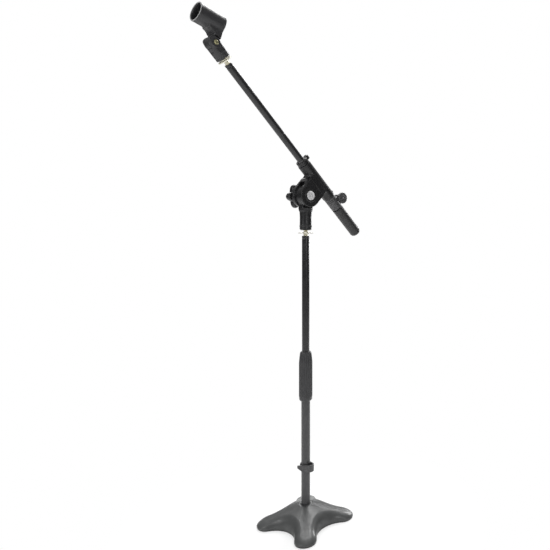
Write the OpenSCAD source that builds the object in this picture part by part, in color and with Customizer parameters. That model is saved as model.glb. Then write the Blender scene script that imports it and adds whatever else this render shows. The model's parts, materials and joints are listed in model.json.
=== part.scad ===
// Boom microphone stand: a cast star base, a two-stage pole with a twist clutch,
// a tilting boom holder with a star knob, a sliding boom and a microphone clip.
// The pole axis is Z and the stand rests on z = 0. The boom swings in the XZ plane
// and its microphone end points to -X.

/* [Base] */
// Radius from the pole axis to the tip of a lobe
base_r = 103.3; // [95:0.1:120]
// Radius of the rounded end of a lobe
lobe_r = 23; // [20:0.5:26]
// Radius from the pole axis to the waist between two lobes
waist_r = 53; // [44:1:58]
// Height of the casting's boss at the pole
boss_h = 41; // [38:1:46]
// Radius of the flat top of the boss
boss_r = 14.5; // [13:0.5:17]
// Fall of the top face for each millimetre of radius
top_slope = 0.39; // [0.34:0.01:0.4]
// Radius of the rounded top edge
edge_r = 15; // [10:0.5:18]
// Turn of the base about the pole
base_turn = -40; // [-45:1:45]
// Thickness of the rubber mat under the base
mat_t = 2; // [1:0.5:3]

/* [Pole] */
// Outer diameter of the lower tube
lower_d = 19; // [18.5:0.5:20]
// Height of the lower tube's top end
lower_top = 326; // [320:1:330]
// Outer diameter of the upper tube
upper_d = 16; // [15:0.5:16.5]
// Height of the upper tube's top end
upper_top = 631; // [600:1:640]
// Length of the upper tube
upper_len = 340; // [320:5:345]
// Height of the middle of the cable clip on the lower tube
cable_clip_z = 122; // [90:1:200]

/* [Clutch] */
// Height of the grip's lower end
grip_z = 268; // [264:1:270]
// Length of the grip
grip_len = 108; // [106:1:112]
// Outer diameter of the grip
grip_d = 29; // [28:0.5:31]
// Number of ribs round the grip
grip_ribs = 20; // [12:1:28]

/* [Boom head] */
// Height of the tilt pivot
pivot_z = 719; // [715:1:730]
// Distance from the tilt pivot to the boom axis
boom_offset = 46.6; // [44:0.1:50]
// Elevation of the boom
boom_elev = 43.5; // [0:0.1:80]
// Radius of the round ears at the tilt pivot
ear_r = 25.5; // [24.5:0.5:26]
// Outer radius of the star knob
knob_r = 27; // [22:1:30]

/* [Boom] */
// Outer diameter of the boom tube
boom_d = 15; // [13:0.5:15.5]
// Distance from the pivot's foot on the boom to the microphone end of the tube
boom_front = 305.6; // [290:0.1:306]
// Distance from the pivot's foot on the boom to the end of the counterweight
boom_back = 170; // [160:1:180]
// Diameter of the counterweight sleeve
tail_d = 25.5; // [22:0.5:27]

/* [Microphone clip] */
// Bore diameter of the clip barrel
clip_bore_d = 32; // [28:0.5:34]
// Outer diameter of the clip barrel
clip_d = 38.4; // [36:0.1:40]
// Length of the clip barrel
clip_len = 52; // [50:0.5:60]
// Elevation of the clip barrel
clip_elev = 13.3; // [0:0.1:30]

/* [Hidden] */

$fn = 64;
eps = 0.05;              // running clearance on a radius
overcut = 1;             // how far a cutter runs past a face
big = 200;               // larger than any cut it is used for

// base: four convex lobe arcs joined by four concave waist arcs
lobes = 4;
lobe_c = base_r - lobe_r;
waist_fillet = (pow(lobe_c, 2) + pow(waist_r, 2) - pow(lobe_r, 2) - sqrt(2) * lobe_c * waist_r)
    / (2 * lobe_r - 2 * waist_r + sqrt(2) * lobe_c);
waist_c = waist_r + waist_fillet;
waist_dir = waist_c / sqrt(2);
tangent_angle = atan2(waist_dir, waist_dir - lobe_c);
wall_t = 14;             // wall thickness of the casting
roof_t = 11;             // thickness of its roof
rim_h = 2;               // height of the plain rim round the foot
lobe_lift = 3;           // how far the crown flattens out towards the lobe tips
edge_power = 1.6;        // fullness of the rounded edge
mat_inset = 1;           // how far the mat stays inside the casting's outline
core_r = 22;             // radius of the solid core round the pole
cavity_round = 6;        // rounding of the cavity's upper edge
base_steps = 96;         // facets round the base
socket_z = 24;           // floor of the pole socket in the casting
recess_r = 16;           // recess under the core, for the washer and the bolt head
recess_h = 12;
bolt_r = 5;              // M10 bolt from below
washer_t = 2;
base_bolt_head_h = 6.4;
base_bolt_top = 40;

// pole
lower_r = lower_d / 2;
lower_wall = 1.2;
pole_clip_h = 15;        // cable clip on the pole
pole_clip_wall = 3;
pole_clip_turn = -83;
pocket_r = 6.8;          // pocket for the cable
pocket_x = 11;
strap_turn = -137;       // loose end of the ring
strap_len = 18;
strap_t = 4.8;
strap_in = 2;            // how far it overlaps the ring's wall
slot_in = 1.5;           // slot between the ring and its loose end
slot_t = 6;
egg_step = 0.15;         // how far its flanks lie inside the tangent
lower_in = lower_r - lower_wall;
upper_r = upper_d / 2;
upper_wall = 1.2;
upper_bottom = upper_top - upper_len;
plug_top = 46;
guide_len = 12;
stud_r = 4.76;           // 3/8 inch thread, drawn at its outer radius
stud_plug_len = 20;
stud_top = 658;
locknut_z = 636;         // underside of the pole locknut's disc
pole_disc_r = 16;
boom_disc_r = 14;
disc_t = 1.8;
nut_hub_r = 6.2;         // hub of both locknuts
nut_hub_len = 5.5;
nut_hub_drop = 2;

// clutch
grip_r = grip_d / 2;
hub_r = 12;
hub_z = 280;
hub_top = 342;
collet_top = 360;
collet_r = 10.5;
collet_slots = 4;
slot_w = 1.4;
grip_neck = 24;          // length of the plain, tapered top of the grip
rib_r = 1.1;

// tilt head
tongue_r = 22;
tongue_t = 14;
washer_r = 23;
friction_t = 1.5;
ear_in = tongue_t / 2 + friction_t + 0.1;
ear_out = 17;
slot_r = 24.5;           // clearance between the ears, round the friction washers
holder_half_w = 26.5;    // half the length of the holder's stem
web_z = 17;              // where the holder's two ears join
sleeve_r = 14.2;
sleeve_front = 52;
sleeve_back = 48;
sleeve_bore = 9;
nose_r = 10.6;           // narrower nose that carries the cable clip
nose_len = 10;
hook_r = 3.2;            // hook of the boom's cable clip
hook_wall = 2.4;
hook_len = 9;
hook_gap = 3.8;
hook_up = nose_r + hook_wall + hook_r;
socket_bottom = 643;
socket_top = pivot_z - 26.5;
socket_r = 13;
bolt8_r = 4;             // M8 pivot bolt
badge_r = 10.5;
badge_t = 1.2;
badge_depth = 0.6;
knob_y = 23.5;           // near face of the star knob's rim
knob_t = 15;
knob_hub_y = 17.1;
knob_lobes = 5;
knob_lobe_r = 8;
knob_turn = 42;          // turn of the star knob

// clamp collar behind the boom holder
collar_front = sleeve_back + 0.3;
collar_back = 82;
collar_r = 13;
collar_x = 69;           // position of the pinch screw along the boom
screw_up = 17.5;         // height of the pinch screw over the boom axis
lug_half = 7.5;
lug_out = 8;
pinch_gap = 1;
m5_r = 2.5;
thumb_r = 13;
thumb_neck = 5;
thumb_t = 12;            // reach of the thumb knob beyond the lug
thumb_gap = 5;           // length of its neck

// boom
boom_r = boom_d / 2;
boom_wall = 1.2;
boom_in = boom_r - boom_wall;
tail_front = 84;
tail_r = tail_d / 2;
boom_locknut_x = 313;    // face of the boom locknut's disc nearest the tube
boom_stud_end = 330;

// microphone clip
clip_x = 349.3;          // clip pivot along the boom from the pivot's foot
clip_base_r = 14.3;
clip_base_front = 318;
clip_ear_r = 13;
clip_tongue = 6.9;       // half the thickness of the barrel's tongue
clip_slot = 7;           // half the width of the fork's slot
clip_ear_out = 13;       // outer face of the fork's ears
neck_front = 6;          // front and rear edges of the neck, and its front fillet
neck_rear = 8.4;
neck_fillet = 14;
clip_lift = 41;          // distance from the clip pivot to the barrel axis
clip_rear = 8.5;         // how far the barrel reaches behind the clip pivot
clip_half_w = 12.5;
clip_screw_r = 2;

// ---------------------------------------------------------------- frames

// boom frame: origin at the tilt pivot, X towards the counterweight, Z to the boom
module on_boom() translate([0, 0, pivot_z]) rotate([0, boom_elev, 0]) children();

// a cylinder along the boom between two positions on the boom axis
module boom_cyl(x0, x1, r, fn = 64)
    translate([x0, 0, boom_offset]) rotate([0, 90, 0]) cylinder(h = x1 - x0, r = r, $fn = fn);

// a cylinder along Y between two positions
module y_cyl(y0, y1, r, fn = 64)
    translate([0, y0, 0]) rotate([-90, 0, 0]) cylinder(h = y1 - y0, r = r, $fn = fn);

// clip frame: origin at the clip pivot, -X out of the barrel's mouth, Z to the barrel
module on_clip()
    on_boom() translate([-clip_x, 0, boom_offset]) rotate([0, clip_elev - boom_elev, 0])
        children();

// the children and their mirror image across the XZ plane
module both_sides() {
    children();
    mirror([0, 1, 0]) children();
}

module ring(h, ro, ri, fn = 64) difference() {
    cylinder(h = h, r = ro, $fn = fn);
    translate([0, 0, -overcut]) cylinder(h = h + 2 * overcut, r = ri, $fn = fn);
}

// ---------------------------------------------------------------- base shape

// angle folded into half of one lobe's sector, 0 at the lobe's centre line
function fold(a) = let (s = 360 / lobes, m = a - s * floor(a / s)) min(m, s - m);

// outline radius at angle a, for the outline moved inwards by inset
function outline_r(a, inset = 0) = let (
    t = fold(a),
    rl = lobe_r - inset,
    rw = waist_fillet + inset,
    split = atan2(rl * sin(tangent_angle), lobe_c + rl * cos(tangent_angle))
) t < split
    ? lobe_c * cos(t) + sqrt(pow(rl, 2) - pow(lobe_c * sin(t), 2))
    : waist_c * cos(45 - t) - sqrt(pow(rw, 2) - pow(waist_c * sin(45 - t), 2));

// distance from a point inside the outline to the outline
function edge_distance(r, a, inset = 0) = let (
    t = fold(a),
    x = r * cos(t),
    y = r * sin(t),
    at_end = atan2(y, x - lobe_c) < tangent_angle
) at_end
    ? lobe_r - inset - norm([x - lobe_c, y])
    : norm([x - waist_dir, y - waist_dir]) - waist_fillet - inset;

function round_drop(d, rr) = d >= rr ? 0 : rr - sqrt(max(0, pow(rr, 2) - pow(rr - d, 2)));

// height of the top face before its edge is rounded
function crown(r) = r <= boss_r ? boss_h
    : boss_h - top_slope * (r - boss_r) + lobe_lift * pow((r - boss_r) / (base_r - boss_r), 2);

// height of the top face, rounded over a band of width edge_r down to the rim
function top_z(r, a) = let (
    room = crown(r) - mat_t - rim_h,
    u = min(1, max(0, 1 - edge_distance(r, a) / edge_r))
) crown(r) - room * (1 - pow(1 - pow(u, edge_power), 1 / edge_power));

function cavity_z(r, a) = max(mat_t + 1, crown(r) - roof_t
    - round_drop(edge_distance(r, a, wall_t), cavity_round));

// rings of the casting from the centre of the underside, out and over to the boss
ceiling_steps = [0, 0.35, 0.7, 0.9, 1];
top_steps = [1, 0.995, 0.98, 0.955, 0.92, 0.87, 0.8, 0.7, 0.55, 0.35, 0.15, 0];
function base_ring(k, a) = let (
    ro = outline_r(a),
    ri = outline_r(a, wall_t),
    nc = len(ceiling_steps),
    c = k - 1
) k == 0 ? [core_r, mat_t]
    : k <= nc ? let (r = core_r + (ri - core_r) * ceiling_steps[c]) [r, cavity_z(r, a)]
    : k == nc + 1 ? [ri, mat_t]
    : k == nc + 2 ? [ro, mat_t]
    : let (r = boss_r + (ro - boss_r) * top_steps[k - nc - 3]) [r, top_z(r, a)];
ring_count = len(ceiling_steps) + 3 + len(top_steps);

module base_shell() {
    n = base_steps;
    pts = [
        [0, 0, mat_t],
        for (k = [0 : ring_count - 1]) for (i = [0 : n - 1])
            let (a = 360 * i / n, p = base_ring(k, a)) [p[0] * cos(a), p[0] * sin(a), p[1]],
        [0, 0, boss_h]
    ];
    last = len(pts) - 1;
    at = function(k, i) 1 + k * n + (i % n);
    faces = [
        for (i = [0 : n - 1]) [0, at(0, i), at(0, i + 1)],
        for (k = [0 : ring_count - 2]) for (i = [0 : n - 1])
            each [[at(k, i), at(k + 1, i), at(k + 1, i + 1)],
                [at(k, i), at(k + 1, i + 1), at(k, i + 1)]],
        for (i = [0 : n - 1]) [last, at(ring_count - 1, i + 1), at(ring_count - 1, i)]
    ];
    polyhedron(pts, faces);
}

// exact outline of the star moved inwards by inset
module star_2d(inset = 0) {
    rw = waist_fillet + inset;
    rl = lobe_r - inset;
    corner_x = lobe_c + rl * cos(tangent_angle);
    corner_y = rl * sin(tangent_angle);
    sector = 360 / lobes;
    corners = [[corner_x, -corner_y], [corner_x, corner_y], [waist_dir, waist_dir]];
    difference() {
        union() {
            polygon([
                for (k = [0 : lobes - 1]) for (p = corners) let (a = k * sector)
                    [p[0] * cos(a) - p[1] * sin(a), p[0] * sin(a) + p[1] * cos(a)]
            ]);
            for (k = [0 : lobes - 1]) rotate(k * sector) translate([lobe_c, 0]) circle(r = rl);
        }
        for (k = [0 : lobes - 1]) rotate((k + 0.5) * sector)
            translate([waist_c, 0]) circle(r = rw, $fn = 96);
    }
}

// ---------------------------------------------------------------- base parts

module base_casting() color([0.33, 0.34, 0.34]) rotate(base_turn) difference() {
    base_shell();
    translate([0, 0, socket_z]) cylinder(h = big, r = lower_r + eps);
    cylinder(h = big, r = bolt_r + 0.3);
    translate([0, 0, -overcut]) cylinder(h = recess_h + overcut, r = recess_r);
}

module base_mat() color([0.08, 0.08, 0.08]) rotate(base_turn)
    linear_extrude(mat_t) star_2d(mat_inset);

module base_washer() color([0.7, 0.7, 0.72])
    translate([0, 0, recess_h - washer_t]) ring(washer_t, 14, bolt_r + 0.2);

module base_bolt() color([0.62, 0.62, 0.64]) {
    head_z = recess_h - washer_t - base_bolt_head_h;
    translate([0, 0, head_z]) cylinder(h = base_bolt_head_h, r = 9.8, $fn = 6);
    translate([0, 0, head_z + base_bolt_head_h - eps])
        cylinder(h = base_bolt_top - head_z - base_bolt_head_h + eps, r = bolt_r);
}

// ---------------------------------------------------------------- pole parts

module lower_tube() color([0.3, 0.3, 0.31])
    translate([0, 0, socket_z]) ring(lower_top - socket_z, lower_r, lower_in);

module lower_tube_plug() color([0.72, 0.62, 0.3])
    translate([0, 0, socket_z]) ring(plug_top - socket_z, lower_in, bolt_r + eps);

// outline round two circles, the second one at distance d along X
module egg_2d(r1, r2, d) {
    lean = acos((r1 - r2) / d);
    tips = [[0, r1 - egg_step], [d, r2 - egg_step]];
    circle(r = r1);
    translate([d, 0]) circle(r = r2);
    polygon([
        for (t = tips) [t[0] + t[1] * cos(lean), -t[1] * sin(lean)],
        for (t = [tips[1], tips[0]]) [t[0] + t[1] * cos(lean), t[1] * sin(lean)]
    ]);
}

// open ring round the pole with a deep pocket for the cable on one side
module pole_cable_clip() color([0.22, 0.22, 0.23]) translate([0, 0, cable_clip_z - pole_clip_h / 2])
    rotate(pole_clip_turn) linear_extrude(pole_clip_h) difference() {
        union() {
            egg_2d(lower_r + pole_clip_wall, pocket_r + pole_clip_wall, pocket_x);
            rotate(strap_turn) translate([0, lower_r - strap_in]) square([strap_len, strap_t]);
        }
        circle(r = lower_r + eps);
        translate([pocket_x, 0]) circle(r = pocket_r);
        rotate(strap_turn) translate([lower_r - slot_in, lower_r - slot_t - 1]) square([big, slot_t]);
    }

// ---------------------------------------------------------------- clutch parts

module clutch_hub() color([0.12, 0.12, 0.12]) difference() {
    translate([0, 0, hub_z]) cylinder(h = hub_top - hub_z, r = hub_r);
    translate([0, 0, hub_z - overcut]) cylinder(h = lower_top - hub_z + overcut, r = lower_r);
    translate([0, 0, hub_z]) cylinder(h = big, r = upper_r + 0.7);
}

module clutch_collet() color([0.85, 0.83, 0.75]) difference() {
    translate([0, 0, hub_top + 0.1]) ring(collet_top - hub_top - 0.1, collet_r, upper_r + eps);
    for (k = [0 : collet_slots - 1]) rotate(k * 360 / collet_slots)
        translate([0, -slot_w / 2, hub_top + 5]) cube([collet_r * 2, slot_w, big]);
}

module clutch_grip() color([0.25, 0.25, 0.26]) {
    top = grip_z + grip_len;
    body_r = grip_r - rib_r / 2;
    difference() {
        union() {
            rotate_extrude() polygon([
                [0, grip_z], [body_r - 3, grip_z], [body_r - 0.9, grip_z + 1.4],
                [body_r, grip_z + 4], [body_r, top - grip_neck],
                [body_r - 0.8, top - grip_neck + 2], [grip_r - 2.6, top - 3],
                [grip_r - 4.2, top], [0, top]
            ]);
            for (k = [0 : grip_ribs - 1]) rotate(k * 360 / grip_ribs)
                translate([body_r - rib_r / 2, 0, grip_z + 8])
                    cylinder(h = grip_len - grip_neck - 10, r = rib_r, $fn = 16);
        }
        translate([0, 0, grip_z - overcut])
            cylinder(h = hub_top + 0.1 - grip_z + overcut, r = hub_r + eps);
        translate([0, 0, hub_top]) cylinder(h = collet_top + 1 - hub_top, r = collet_r + 0.1);
        cylinder(h = big * 3, r = upper_r + 0.3);
    }
}

module upper_tube() color([0.07, 0.07, 0.08])
    translate([0, 0, upper_bottom]) ring(upper_len, upper_r, upper_r - upper_wall);

module upper_tube_guide() color([0.9, 0.9, 0.88]) {
    translate([0, 0, upper_bottom - 2]) ring(2, lower_in - eps, upper_r - upper_wall - 1.5);
    translate([0, 0, upper_bottom - eps])
        ring(guide_len, upper_r - upper_wall, upper_r - upper_wall - 1.5);
}

module pole_stud() color([0.8, 0.75, 0.5]) {
    translate([0, 0, upper_top - stud_plug_len])
        cylinder(h = stud_plug_len, r = upper_r - upper_wall);
    translate([0, 0, upper_top - eps]) cylinder(h = stud_top - upper_top, r = stud_r);
}

// thin thumb disc with a hub on a threaded stud
module locknut(disc_r) difference() {
    union() {
        cylinder(h = disc_t, r = disc_r);
        translate([0, 0, -nut_hub_drop]) cylinder(h = nut_hub_len, r = nut_hub_r);
    }
    translate([0, 0, -big / 2]) cylinder(h = big, r = stud_r + eps);
}

module pole_locknut() color([0.78, 0.76, 0.66]) translate([0, 0, locknut_z]) locknut(pole_disc_r);

// ---------------------------------------------------------------- tilt head

module swivel_socket() color([0.1, 0.1, 0.1]) difference() {
    union() {
        rotate_extrude() polygon([
            [0, socket_bottom], [socket_r - 2.2, socket_bottom], [socket_r, socket_bottom + 4.5],
            [socket_r - 0.3, socket_bottom + 28], [socket_r + 0.6, socket_top - 8],
            [socket_r + 2, socket_top], [0, socket_top]
        ]);
        translate([0, 0, pivot_z]) y_cyl(-tongue_t / 2, tongue_t / 2, tongue_r);
        translate([-13, -tongue_t / 2, socket_top - 4]) cube([26, tongue_t, 14]);
    }
    translate([0, 0, pivot_z]) y_cyl(-big / 2, big / 2, bolt8_r + 0.1);
    translate([0, 0, socket_bottom - overcut]) cylinder(h = 22 + overcut, r = 8);
}

module socket_insert() color([0.78, 0.7, 0.4])
    translate([0, 0, socket_bottom + 0.4]) ring(21.6, 8, stud_r + eps);

module friction_washers() color([0.12, 0.12, 0.12]) translate([0, 0, pivot_z])
    both_sides() difference() {
        y_cyl(tongue_t / 2, tongue_t / 2 + friction_t, washer_r);
        y_cyl(0, big, bolt8_r + 0.1);
    }

module boom_holder() color([0.09, 0.09, 0.09]) on_boom() difference() {
    union() {
        y_cyl(-ear_out, ear_out, ear_r);
        translate([-holder_half_w, -ear_out, 0])
            cube([2 * holder_half_w, 2 * ear_out, boom_offset - sleeve_r / 2]);
        boom_cyl(-sleeve_front, sleeve_back, sleeve_r);
        boom_cyl(-sleeve_front - nose_len, -sleeve_front + 1, nose_r);
        translate([sleeve_back - 4, -2.5, boom_offset]) cube([4, 5, 18]);
    }
    // the stem is thinner than the ears from just above them
    both_sides() translate([-big / 2, sleeve_r, ear_r + 2]) cube(big);
    y_cyl(-ear_in, ear_in, slot_r);
    translate([-big / 2, -ear_in, -big]) cube([big, 2 * ear_in, big + web_z]);
    boom_cyl(-big, big, sleeve_bore);
    boom_cyl(sleeve_back - 6, big, collar_r - 1.5);
    y_cyl(-big, big, bolt8_r + eps);
    y_cyl(-big, -ear_out + 6, 7.6);
    y_cyl(-big, -ear_out + badge_depth, badge_r + eps);
}

module pivot_bolt() color([0.7, 0.7, 0.72]) on_boom() {
    y_cyl(-ear_out + 1.2, -ear_out + 5.8, 7.2);
    y_cyl(-ear_out + 5.8 - eps, knob_y + 12, bolt8_r);
}

module pivot_badge() color([0.82, 0.82, 0.84]) on_boom()
    y_cyl(-ear_out + badge_depth - badge_t, -ear_out + badge_depth, badge_r);

module pivot_knob() color([0.08, 0.08, 0.08]) on_boom() difference() {
    union() {
        y_cyl(knob_hub_y, knob_y + eps, 11);
        y_cyl(knob_y, knob_y + knob_t, knob_r - knob_lobe_r);
        for (k = [0 : knob_lobes - 1]) rotate([0, knob_turn + k * 360 / knob_lobes, 0])
            translate([0, 0, knob_r - knob_lobe_r])
                y_cyl(knob_y + 1, knob_y + knob_t - 1, knob_lobe_r, 32);
    }
    y_cyl(0, knob_y + knob_t - 2, bolt8_r + 0.1);
    y_cyl(knob_y - overcut - 5, knob_y + 1, 7.6, 6);
}

module pivot_knob_nut() color([0.75, 0.68, 0.4]) on_boom() difference() {
    y_cyl(knob_y - 5.9, knob_y + 0.9, 7.5, 6);
    y_cyl(0, big, bolt8_r + eps);
}

// ---------------------------------------------------------------- boom clamp

module boom_bush() color([0.16, 0.16, 0.16]) on_boom() difference() {
    boom_cyl(-sleeve_front - nose_len - 2, sleeve_back - 0.2, sleeve_bore - eps);
    boom_cyl(-big, big, boom_r + eps);
}

module boom_collar() color([0.36, 0.36, 0.37]) on_boom() difference() {
    union() {
        boom_cyl(collar_front, collar_back, collar_r);
        boom_cyl(sleeve_back - 5.8, collar_front + 1, collar_r - 1.5 - eps);
        translate([collar_x - lug_half, -lug_out, boom_offset])
            cube([2 * lug_half, 2 * lug_out, screw_up + 6]);
    }
    boom_cyl(-big, big, boom_r + 0.1);
    boom_cyl(-big, sleeve_back, sleeve_bore + eps);
    translate([collar_front + 2, -pinch_gap, boom_offset]) cube([big, 2 * pinch_gap, big]);
    translate([collar_x, 0, boom_offset + screw_up]) y_cyl(-big, big, m5_r + 0.1);
}

module collar_screw() color([0.7, 0.7, 0.72]) on_boom()
    translate([collar_x, 0, boom_offset + screw_up]) y_cyl(-20, lug_out + 6, m5_r);

module collar_nut() color([0.7, 0.7, 0.72]) on_boom()
    translate([collar_x, 0, boom_offset + screw_up]) difference() {
        y_cyl(lug_out, lug_out + 4, 4.6, 6);
        y_cyl(0, big, m5_r + eps);
    }

module collar_knob() color([0.1, 0.1, 0.1]) on_boom()
    translate([collar_x, 0, boom_offset + screw_up]) difference() {
        union() {
            y_cyl(-lug_out - thumb_gap, -lug_out - 0.1, thumb_neck);
            y_cyl(-lug_out - thumb_t, -lug_out - thumb_gap + eps, thumb_r);
        }
        y_cyl(-21, 0, m5_r + eps);
        y_cyl(-big, -21 + eps, 2);
    }

module boom_cable_clip() color([0.14, 0.14, 0.14]) on_boom()
    translate([-sleeve_front - nose_len / 2, 0, boom_offset]) rotate([0, 90, 0]) rotate(180)
        difference() {
            union() {
                cylinder(h = hook_len, r = nose_r + eps + hook_wall, center = true);
                translate([hook_up, 0, 0])
                    cylinder(h = hook_len, r = hook_r + hook_wall, center = true);
            }
            cylinder(h = big, r = nose_r + eps, center = true);
            translate([hook_up, 0, 0]) cylinder(h = big, r = hook_r, center = true);
            translate([hook_up, -hook_gap / 2, -big / 2]) cube([big, hook_gap, big]);
        }

// ---------------------------------------------------------------- boom

module boom_tube() color([0.07, 0.07, 0.08]) on_boom() difference() {
    boom_cyl(-boom_front, boom_back - 6, boom_r);
    boom_cyl(-big * 2, big * 2, boom_in);
}

module tail_core() color([0.5, 0.5, 0.52]) on_boom()
    boom_cyl(tail_front, boom_back - 6, boom_in);

module tail_sleeve() color([0.13, 0.13, 0.13]) on_boom() difference() {
    translate([tail_front, 0, boom_offset]) rotate([0, 90, 0]) rotate_extrude() polygon([
        [0, 0], [tail_r - 1, 0], [tail_r, 1], [tail_r, boom_back - tail_front - 5],
        [tail_r - 1.5, boom_back - tail_front - 1.5], [tail_r - 5, boom_back - tail_front],
        [0, boom_back - tail_front]
    ]);
    boom_cyl(0, boom_back - 6, boom_r);
}

module boom_stud() color([0.8, 0.75, 0.5]) on_boom() {
    boom_cyl(-boom_front, -boom_front + stud_plug_len, boom_in);
    boom_cyl(-boom_stud_end, -boom_front + eps, stud_r);
}

module boom_locknut() color([0.78, 0.76, 0.66]) on_boom()
    translate([-boom_locknut_x, 0, boom_offset]) rotate([0, -90, 0]) locknut(boom_disc_r);

// ---------------------------------------------------------------- microphone clip

module clip_base() color([0.27, 0.27, 0.28]) on_boom() difference() {
    // a round body whose fork ends in round ears
    intersection() {
        boom_cyl(-clip_x - clip_ear_r, -clip_base_front, clip_base_r);
        translate([-clip_x, 0, boom_offset]) union() {
            y_cyl(-big / 2, big / 2, clip_ear_r);
            translate([0, -big / 2, -clip_ear_r]) cube([clip_ear_r, big, 2 * clip_ear_r]);
            translate([clip_ear_r, -big / 2, -big / 2]) cube(big);
        }
    }
    translate([-clip_x, 0, boom_offset]) {
        y_cyl(-clip_slot, clip_slot, clip_ear_r);
        translate([-big, -clip_slot, -big]) cube([big + 4, 2 * clip_slot, 2 * big]);
        y_cyl(-big, big, clip_screw_r + 0.1);
        both_sides() y_cyl(clip_ear_out, big, clip_ear_r + overcut);
    }
    boom_cyl(-boom_stud_end - 3, -clip_base_front + overcut, 8);
}

module clip_insert() color([0.8, 0.7, 0.4]) on_boom() difference() {
    boom_cyl(-boom_stud_end - 3, -clip_base_front, 8);
    boom_cyl(-big * 2, 0, stud_r + eps);
}

// side view of the neck: a concave front edge that runs into the barrel
module clip_neck_2d() difference() {
    polygon([
        [-neck_front - neck_fillet, clip_ear_r - 4], [neck_rear, clip_ear_r - 4],
        [clip_rear - 1, clip_lift - clip_d / 2 + 2], [clip_rear - 1, clip_lift - 10],
        [-neck_front - neck_fillet, clip_lift - 10]
    ]);
    translate([-neck_front - neck_fillet, clip_lift - clip_d / 2 + 0.8 - neck_fillet])
        circle(r = neck_fillet);
}

module clip_barrel() color([0.27, 0.27, 0.28]) on_clip() difference() {
    union() {
        translate([clip_rear - clip_len, 0, clip_lift]) rotate([0, 90, 0])
            cylinder(h = clip_len, r = clip_d / 2);
        translate([0, clip_half_w, 0]) rotate([90, 0, 0])
            linear_extrude(2 * clip_half_w) clip_neck_2d();
        y_cyl(-clip_tongue, clip_tongue, clip_ear_r - 0.5);
    }
    both_sides() y_cyl(clip_tongue, big, clip_ear_r + 0.6);
    translate([-big, 0, clip_lift]) rotate([0, 90, 0]) cylinder(h = 2 * big, r = clip_bore_d / 2);
    y_cyl(-big, big, clip_screw_r + eps);
}

module clip_screw() color([0.8, 0.74, 0.5]) on_clip() {
    y_cyl(-15, -13, 4.7);
    y_cyl(-13 - eps, 16, clip_screw_r);
}

module clip_nut() color([0.7, 0.7, 0.72]) on_clip() difference() {
    y_cyl(13, 15.6, 4, 6);
    y_cyl(0, big, clip_screw_r + eps);
}

// ---------------------------------------------------------------- output

base_casting();
base_mat();
base_washer();
base_bolt();
lower_tube();
lower_tube_plug();
pole_cable_clip();
clutch_hub();
clutch_collet();
clutch_grip();
upper_tube();
upper_tube_guide();
pole_stud();
pole_locknut();
swivel_socket();
socket_insert();
friction_washers();
boom_holder();
pivot_bolt();
pivot_badge();
pivot_knob();
pivot_knob_nut();
boom_bush();
boom_collar();
collar_screw();
collar_nut();
collar_knob();
boom_cable_clip();
boom_tube();
tail_core();
tail_sleeve();
boom_stud();
boom_locknut();
clip_base();
clip_insert();
clip_barrel();
clip_screw();
clip_nut();
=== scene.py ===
import json
from math import cos, pi, radians, sin

import bmesh
import bpy
import numpy as np
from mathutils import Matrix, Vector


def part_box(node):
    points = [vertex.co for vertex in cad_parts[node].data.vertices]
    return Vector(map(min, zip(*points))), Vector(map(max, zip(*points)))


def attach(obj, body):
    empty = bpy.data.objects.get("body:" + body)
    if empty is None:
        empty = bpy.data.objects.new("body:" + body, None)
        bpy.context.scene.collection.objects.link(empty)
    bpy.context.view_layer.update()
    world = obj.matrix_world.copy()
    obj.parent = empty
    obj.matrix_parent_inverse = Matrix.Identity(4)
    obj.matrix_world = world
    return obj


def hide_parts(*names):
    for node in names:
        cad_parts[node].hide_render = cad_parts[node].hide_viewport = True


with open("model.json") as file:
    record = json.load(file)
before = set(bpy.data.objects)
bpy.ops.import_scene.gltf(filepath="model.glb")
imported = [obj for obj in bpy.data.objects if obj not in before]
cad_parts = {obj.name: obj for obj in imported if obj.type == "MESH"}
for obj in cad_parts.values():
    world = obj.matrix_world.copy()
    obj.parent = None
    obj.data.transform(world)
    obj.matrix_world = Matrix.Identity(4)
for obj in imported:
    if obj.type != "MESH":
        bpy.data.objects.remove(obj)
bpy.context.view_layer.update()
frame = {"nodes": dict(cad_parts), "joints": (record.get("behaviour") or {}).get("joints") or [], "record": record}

import openvdb
from mathutils import Matrix, Vector

# Lengths are millimetres in the shapes below and metres in the scene.
MM = 0.001
JOINT = {j["name"]: j for j in frame["joints"]}
MOUNT = {m["name"]: m for m in frame["record"]["mounts"]}
SLOT = {s["node"]: s["material_slot"] for s in frame["record"]["subparts"]}


def size_of(node):
    """A node's lowest and highest corners at rest, in millimetres."""
    low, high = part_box(node)
    return Vector(low) / MM, Vector(high) / MM


def local_frame(origin, x_axis):
    """A frame in the boom's plane: X along x_axis, Y along the tilt axis, Z square to both."""
    x = Vector(x_axis).normalized()
    y = Vector((0, 1, 0))
    z = x.cross(y)
    rows = [[x[i], y[i], z[i], origin[i]] for i in range(3)]
    return Matrix(rows + [[0, 0, 0, 1]])


# ---------------------------------------------------------------- frames and driving sizes

POLE = Matrix.Identity(4)
TO_MIC = Vector(JOINT["boom_roll"]["axis"])
PIVOT = Vector(JOINT["boom_tilt"]["pos_m"])
BOOM_FOOT = Vector(JOINT["boom_roll"]["pos_m"])
CLIP_PIVOT = Vector(JOINT["clip_tilt"]["pos_m"])
BORE_OUT = Vector(MOUNT["microphone_bore"]["axis"])
HEAD = local_frame(PIVOT, -TO_MIC)
BOOM = local_frame(BOOM_FOOT, -TO_MIC)
CLIP = local_frame(CLIP_PIVOT, -BORE_OUT)
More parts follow.
